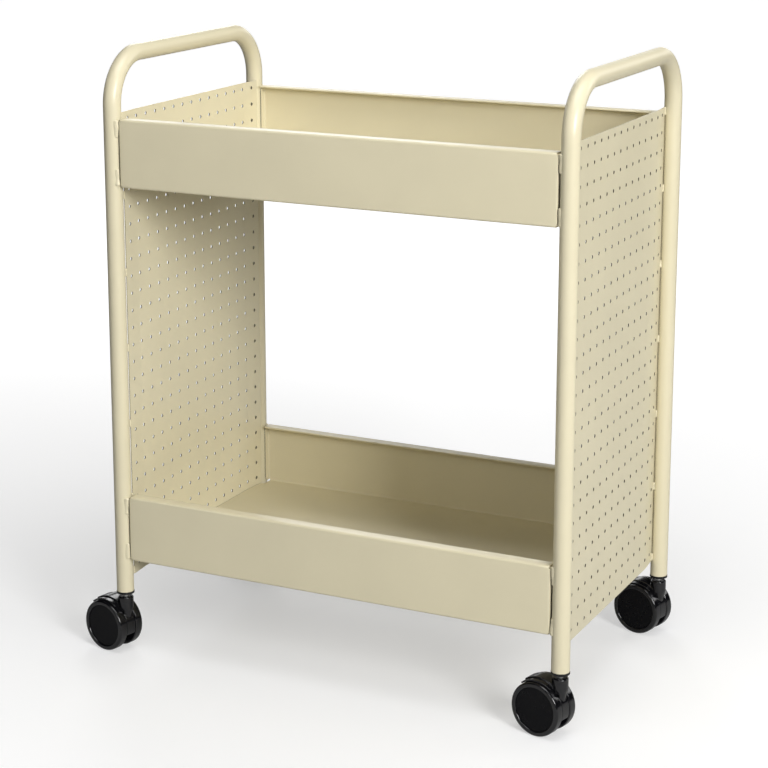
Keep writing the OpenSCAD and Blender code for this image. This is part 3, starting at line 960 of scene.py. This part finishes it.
@dataclass
class Caster:
    """One twin-wheel swivel caster, built in its own frame and then put at its corner.

    Its own frame has the stem's axis as z, the wheels trailing along -x and the floor
    at z = 0. Spans are angles about the axle, from forwards over the top.
    """

    corner: Corner
    finishes: dict
    band_r: float = 40.8
    band_half: float = 18.0
    band_span: tuple = (56.0, 128.0)
    crown_r: float = 42.6
    crown_half: float = 9.5
    crown_span: tuple = (50.0, 125.0)
    web_t: float = 16.4
    web_half: float = 9.4
    web_span: tuple = (-18.0, 150.0)
    boss_r: float = 24.0
    boss_half: float = 9.3
    pocket_r: float = 38.4
    neck_foot: float = 44.0
    neck_top: float = 85.4
    neck_r: float = 11.3
    bore_r: float = 4.6
    bore_foot: float = 62.0
    bore_top: float = 92.0
    voxel: float = 0.5
    wheel_w: float = 13.5
    wheel_gap: float = 0.8
    wheel_bore_r: float = 4.05
    hub_r: float = 8.0
    disc_z: float = 6.5
    tread_round: float = 4.6
    lip_round: float = 2.1
    cap_r: float = 31.0
    cap_seat: float = 9.5
    cap_t: float = 2.2
    ribs: int = 6
    rib_t: float = 1.6
    collar_h: float = 3.6
    plug_r: float = 11.15
    plug_top: float = 126.0
    shank_r: float = 5.5
    washer_r: float = 8.0
    washer_t: float = 2.4
    pin_r: float = 4.0
    pin_foot: float = 61.9
    groove_r: float = 4.7

    @property
    def name(self) -> str:
        """The corner in words, as the record's nodes have it."""
        return self.corner.name.lower()

    @property
    def axle(self) -> tuple:
        """The axle in the side view (x, z)."""
        return (-CART.trail, CART.wheel_r)

    def place(self, obj: Object) -> Object:
        """Moves an object's points from the caster's own frame to its corner.

        Args:
            obj: The object.

        Returns:
            The same object.
        """
        c = CART
        sx, sy = self.corner.value
        spot = Vector((sx * c.tube_x, sy * c.post_y, 0)) * MM + Vector(c.shift)
        turn = Matrix.Rotation(-radians(c.swing), 4, "Z")
        obj.data.transform(Matrix.Translation(spot) @ turn)
        return obj

    def sector(self, radius: float, span: tuple) -> Array:
        """A pie slice about the axle."""
        return np.vstack([[self.axle], arc(self.axle, radius, *span, 40)])

    def hood(self) -> Object:
        """The hood: side bands over the wheels, a raised middle band, the web and the neck.

        Slices of discs about the axle and a turned neck are joined, the two wheel pockets
        are cut out, and every edge is rounded as a moulding's is.

        Returns:
            The hood.
        """
        foot, top, r, half = self.neck_foot, self.neck_top, self.neck_r, self.web_t / 2
        hood = prism(f"{self.name}_moulded_hood", self.sector(self.band_r, self.band_span), self.band_half)
        crown = prism("hood_crown", self.sector(self.crown_r, self.crown_span), self.crown_half)
        web = prism("hood_web", self.sector(CART.wheel_r - 1, self.web_span), self.web_half)
        disc = prism("hood_disc", arc(self.axle, self.boss_r, 0, 360, 72)[:-1], self.boss_half)
        neck_line = [(0, foot), (5, foot), (r, top - 17), (r, top - 1.2), (r - 1.2, top), (0, top)]
        neck = turned("hood_neck", rounded(neck_line, [0, 1, 3, 0, 0, 0]), 72)
        pocket = np.array([(0, half), (self.pocket_r, half), (self.pocket_r, 40), (0, 40)])
        spot = (self.axle[0], 0, self.axle[1])
        cuts = [turned("pocket", pocket, 128, spot, axis) for axis in (Axis.REAR, Axis.FRONT)]
        low, high = self.bore_foot, self.bore_top
        bore = turned("bore", np.array([(0, low), (self.bore_r, low), (self.bore_r, high), (0, high)]), 48)
        for kind, parts in (("UNION", (crown, web, disc, neck)), ("DIFFERENCE", (*cuts, bore))):
            for part in parts:
                step = hood.modifiers.new(part.name, "BOOLEAN")
                step.operation, step.object, step.solver = kind, part, "EXACT"
        soft = hood.modifiers.new("soft", "REMESH")
        soft.mode, soft.voxel_size, soft.adaptivity = "VOXEL", self.voxel * MM, 0.0
        relax = hood.modifiers.new("relax", "CORRECTIVE_SMOOTH")
        relax.iterations, relax.use_only_smooth, relax.smooth_type = 4, True, "SIMPLE"
        baked(hood, crease=180)
        for part in (crown, web, disc, neck, *cuts, bore):
            bpy.data.objects.remove(part)
        return self.place(hood)

    def wheel(self, face: Face) -> Object:
        """One wheel: a turned rim, disc and hub, (r cos a, r sin a, h), with ribs behind its cap.

        Args:
            face: Which wheel of the caster.

        Returns:
            The wheel.
        """
        r, w, cap, seat = CART.wheel_r, self.wheel_w, self.cap_r, self.cap_seat
        bore, hub, disc = self.wheel_bore_r, self.hub_r, self.disc_z
        line = rounded(
            [(bore, 4), (bore, 0), (hub, 0), (hub, disc), (cap, disc), (cap, 0), (r - 1.2, 0),
             (r, 1.2), (r, w), (cap, w), (cap, seat), (bore, seat), (bore, 4)],
            [0, 0.3, 0.4, 0.6, 0.6, 0.4, 0.6, 0.8, self.tread_round, self.lip_round, 0, 0, 0], 8)
        work = Patchwork()
        work.grid(lathe(line, 144), closed=True)
        near, far, half = hub - 0.6, cap + 0.2, self.rib_t / 2
        for k in range(self.ribs):
            a = 2 * pi * k / self.ribs
            turn = np.array([[cos(a), -sin(a)], [sin(a), cos(a)]])
            ring = np.array([(near, -half), (far, -half), (far, half), (near, half)]) @ turn.T
            sides = [np.column_stack([ring, np.full(4, h)]) for h in (1.0, disc + 0.2)]
            work.grid(np.stack(sides), closed=True)
            work.grid(sides[0][[0, 1, 3, 2]].reshape(2, 2, 3))
        return self.on_axle(work, "tread", face, 42)

    def cap(self, face: Face) -> Object:
        """A wheel's cap: a faintly dished disc, h = top - 0.4 (1 - (r/R)^2), with a rolled rim.

        Args:
            face: Which wheel of the caster.

        Returns:
            The cap.
        """
        rim, top = self.cap_r - 0.1, self.cap_t
        r = np.linspace(rim - 0.9, 0, 24)
        dish = np.stack([r, top - 0.4 * (1 - (r / rim) ** 2)], 1)
        edge = rounded([(0, 0.02), (rim, 0.02), (rim, top), tuple(dish[0])], [0, 0, 0.45, 0])
        work = Patchwork()
        work.grid(lathe(np.vstack([edge, dish[1:]]) + (0, self.cap_seat), 144), closed=True)
        return self.on_axle(work, "disc", face, 45)

    def on_axle(self, work: Patchwork, word: str, face: Face, crease: float) -> Object:
        """Turns a piece whose axis is z onto the axle, on one side, and builds it.

        Args:
            work: The piece's grids.
            word: What the piece is.
            face: The side it is on.
            crease: Edges that bend by more than this many degrees stay sharp.

        Returns:
            The piece at its corner.
        """
        inner = self.web_t / 2 + self.wheel_gap
        spot = (self.axle[0], 0, self.axle[1])
        for k, p in enumerate(work.points):
            across = face.value * (inner + p[:, 2])
            work.points[k] = (np.stack([p[:, 0], across, p[:, 1]], 1) + spot) * MM
        return self.place(work.build(f"{self.name}_{face.name.lower()}_{word}", crease=crease))

    def collar(self) -> Object:
        """The socket: a collar under the tube's end and a plug inside it, turned as one.

        Returns:
            The socket.
        """
        seat, shelf = CART.tube_end_z - self.collar_h, CART.tube_end_z - 0.02
        rim, hole, plug, top = CART.tube_r + 0.4, self.shank_r + 0.1, self.plug_r, self.plug_top
        line = [(hole, seat), (rim, seat), (rim, shelf), (plug, shelf), (plug, top), (hole, top)]
        line = rounded([*line, line[0]], [0, 0.9, 0.3, 0, 0.8, 0, 0])
        return self.place(turned(f"{self.name}_collar", line, 72))

    def pin(self) -> Object:
        """The stem: its pivot pin, its washer and its grooved shank, turned as one.

        Returns:
            The stem.
        """
        seat = CART.tube_end_z - self.collar_h
        under, over = seat - 0.02 - self.washer_t, seat - 0.02
        pin, wide, shank, groove = self.pin_r, self.washer_r, self.shank_r, self.groove_r
        line = [(0, self.pin_foot), (pin, self.pin_foot), (pin, under), (wide, under), (wide, over),
                (shank, over), (shank, seat + 15), (groove, seat + 15), (groove, seat + 18),
                (shank, seat + 18), (shank, seat + 22), (0, seat + 22)]
        line = rounded(line, [0, 0.8, 0, 0.5, 0.5, 0, 0, 0, 0, 0, 1.4, 0])
        return self.place(turned(f"{self.name}_pin", line, 64))

    def build(self) -> None:
        """Builds the caster and puts each piece on its CAD body."""
        name, looks = self.name, self.finishes
        finish(self.hood(), looks["caster_hood"], f"{name}_caster", f"{name}_hood")
        for face in Face:
            word = face.name.lower()
            body = f"{name}_{word}_wheel"
            finish(self.wheel(face), looks["caster_wheel"], body, f"{name}_wheel_{word}")
            finish(self.cap(face), looks["wheel_cap"], body, f"{name}_cap_{word}")
        collar, pin = self.collar(), self.pin()
        finish(collar, looks["stem_socket"], "cart", f"{name}_socket")
        finish(pin, looks["plated_steel"], "cart", f"{name}_stem")


# Studio


@dataclass(frozen=True)
class Lamp:
    """One rectangular area lamp: its place and aim in metres, size, power and colour."""

    name: str
    spot: tuple
    aim: tuple
    size: tuple
    watts: float
    tint: tuple = (1, 1, 1)

    def build(self) -> None:
        """Hangs the lamp."""
        data = bpy.data.lights.new(self.name, "AREA")
        data.shape, data.size, data.size_y = "RECTANGLE", *self.size
        data.energy, data.color = self.watts, self.tint
        lamp = linked(self.name, data)
        lamp.location = self.spot
        lamp.rotation_euler = (Vector(self.aim) - Vector(self.spot)).to_track_quat("-Z", "Y").to_euler()


LAMPS = (
    Lamp("key", (3.3, -2.3, 2.02), (0, 0, 0.45), (1.2, 1.6), 143),
    Lamp("front", (0.9, -3.6, 2.2), (0, 0, 0.45), (1.2, 1.2), 19, (1.0, 0.99, 0.99)),
    Lamp("top", (0.6, -0.7, 3.1), (0, 0, 0.7), (2.2, 1.4), 42),
    Lamp("fill", (-1.6, -3.1, 1.2), (0, 0, 0.45), (1.4, 1.4), 4),
    Lamp("rear", (2.6, 2.4, 1.8), (0, 0, 0.6), (1.2, 1.4), 14),
    Lamp("back", (-1.9, 2.9, 2.5), (0, 0, 0.5), (1.4, 1.4), 26),
)


@dataclass
class Studio:
    """Camera, lamps and the pale floor, placed to match the photograph."""

    picture_px: float = 768.0
    focal_px: float = 2131.22
    centre_px: tuple = (384.0, 290.0)
    spot_mm: tuple = (1318.41, -2709.84, 1230.08)
    azimuth: float = 25.864
    elevation: float = 12.964
    roll: float = 0.035
    wall: float = 1.9
    floor_r: float = 30.0
    floor_facets: int = 96

    def camera(self) -> None:
        """Places the camera: back = (sin a cos e, -cos a cos e, sin e), turned by the roll."""
        wide, half = self.picture_px, self.picture_px / 2
        data = bpy.data.cameras.new("camera")
        data.sensor_width = 36.0
        data.lens = self.focal_px / wide * data.sensor_width
        data.shift_x = (half - self.centre_px[0]) / wide
        data.shift_y = -(half - self.centre_px[1]) / wide
        data.clip_end = 50.0
        camera = linked("camera", data)
        a, e = radians(self.azimuth), radians(self.elevation)
        back = Vector((sin(a) * cos(e), -cos(a) * cos(e), sin(e)))
        right = (-back).cross(Vector((0, 0, 1))).normalized()
        up = back.cross(right)
        turn = Matrix((right, up, back)).transposed() @ Matrix.Rotation(radians(self.roll), 3, "Z")
        camera.matrix_world = Matrix.Translation(Vector(self.spot_mm) * MM) @ turn.to_4x4()
        bpy.context.scene.camera = camera

    def world(self) -> None:
        """A white backdrop for the camera, and for the light a pale wall behind the cart.

        Its strength is that of the wall times three ramps from 0 to 1: of d . back, and
        twice of d . up, up the wall's foot and down from its top, d the direction.
        """
        world = bpy.data.worlds.new("studio")
        world.use_nodes = True
        pen = Pen(world.node_tree)
        away = pen.add("TexCoord").outputs["Generated"]
        a = radians(self.azimuth)

        def swept(axis: tuple, low: float, high: float, top: float) -> Socket:
            """Rises from 0 to top as the direction's share along the axis goes from low to high."""
            return pen.ramp(pen.calc("DOT_PRODUCT", away, axis, "VectorMath"), low, high, 0.0, top)

        light = swept((-sin(a), cos(a), 0), 0.55, 0.8, self.wall)
        for low, high in ((0.05, 0.12), (0.3, 0.22)):
            light = pen.calc("MULTIPLY", light, swept((0, 0, 1), low, high, 1.0))
        shown = pen.put(pen.add("Mix"), i0=pen.seen(), i2=light, i3=1.0).outputs[0]
        pen.put(pen.tree.nodes["Background"], i0=(1, 1, 1, 1), i1=shown)
        bpy.context.scene.world = world

    def floor(self) -> Object:
        """A pale floor disc, (r cos t, r sin t, 0), which the camera sees lighter further out.

        Returns:
            The floor.
        """
        t = around(self.floor_facets)
        r = self.floor_r
        ring = np.stack([r * np.cos(t), r * np.sin(t), 0 * t], 1)
        mesh = bpy.data.meshes.new("floor")
        mesh.from_pydata(ring.tolist(), [], [list(range(self.floor_facets))])
        s = Shader("pale_floor")
        s.put(s.bsdf, Base_Color=s.mix(s.noise(1.5), (0.50, 0.50, 0.50), (0.52, 0.52, 0.52)), Roughness=0.7)
        away = s.calc("LENGTH", s.place, (0, 0, 0), "VectorMath")
        glow = s.calc("MULTIPLY", s.seen(), s.ramp(away, 0.3, 2.6, 0.42, 0.95))
        s.put(s.bsdf, Emission_Color=(1, 1, 1, 1), Emission_Strength=glow)
        mesh.materials.append(s.material)
        return linked("floor", mesh)

    def build(self) -> None:
        """Sets up the whole studio."""
        self.camera()
        self.world()
        for lamp in LAMPS:
            lamp.build()
        bpy.context.scene.view_settings.view_transform = "Standard"
        self.floor()
        log.info("studio: camera, %d lamps and floor", len(LAMPS))


# The whole cart


def finish(obj: Object, material: Material, body: str, node: str) -> None:
    """Gives a piece its material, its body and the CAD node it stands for.

    Args:
        obj: The piece.
        material: Its material.
        body: The CAD body it rides on.
        node: The CAD node it replaces.
    """
    obj.data.materials.clear()
    obj.data.materials.append(material)
    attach(obj, body)
    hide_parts(node)
    log.info("%s: %d points", obj.name, len(obj.data.vertices))


def dress(finishes: dict) -> None:
    """Builds every new piece and puts it on its body.

    Args:
        finishes: The materials by name.
    """
    coat, punched = finishes["powder_coat"], finishes["punched_coat"]
    for side in Side:
        word = side.name.lower()
        finish(EndFrame(side).build(), coat, "cart", f"{word}_end_frame")
        finish(SidePanel(side).build(), punched, "cart", f"{word}_side_panel")
    for name, z in CART.tray_z:
        finish(Tray(name, z).build(), coat, "cart", f"{name}_tray")
    beads = WeldBeads(np.random.default_rng(7))
    finish(beads.tray_beads(), coat, "cart", "tray_weld_beads")
    finish(beads.panel_beads(), coat, "cart", "panel_weld_beads")
    for corner in Corner:
        Caster(corner, finishes).build()


def drawn() -> dict:
    """Draws every material.

    Returns:
        The materials by name: one for each of the record's slots, and the panels' own.
    """
    kinds = (
        PowderCoat(),
        PowderCoat("punched_coat", holes=CART.hole_grid),
        ZincPlate(),
        MouldedPlastic("caster_hood", roughness=0.17, shine=0.6),
        MouldedPlastic("caster_wheel", roughness=0.12, wear=0.03, shine=0.6),
        MouldedPlastic("wheel_cap", roughness=0.22, shine=0.12),
        MouldedPlastic("stem_socket", roughness=0.45),
    )
    return {kind.name: kind.build() for kind in kinds}


def main() -> None:
    """Builds the visual model."""
    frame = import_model()
    finishes = drawn()
    slots = {p["node"]: p["material_slot"] for p in frame["record"]["subparts"]}
    for name, node in frame["nodes"].items():
        node.data.materials.clear()
        node.data.materials.append(finishes[slots[name]])
    dress(finishes)
    Studio().build()


if __name__ == "__main__":
    main()
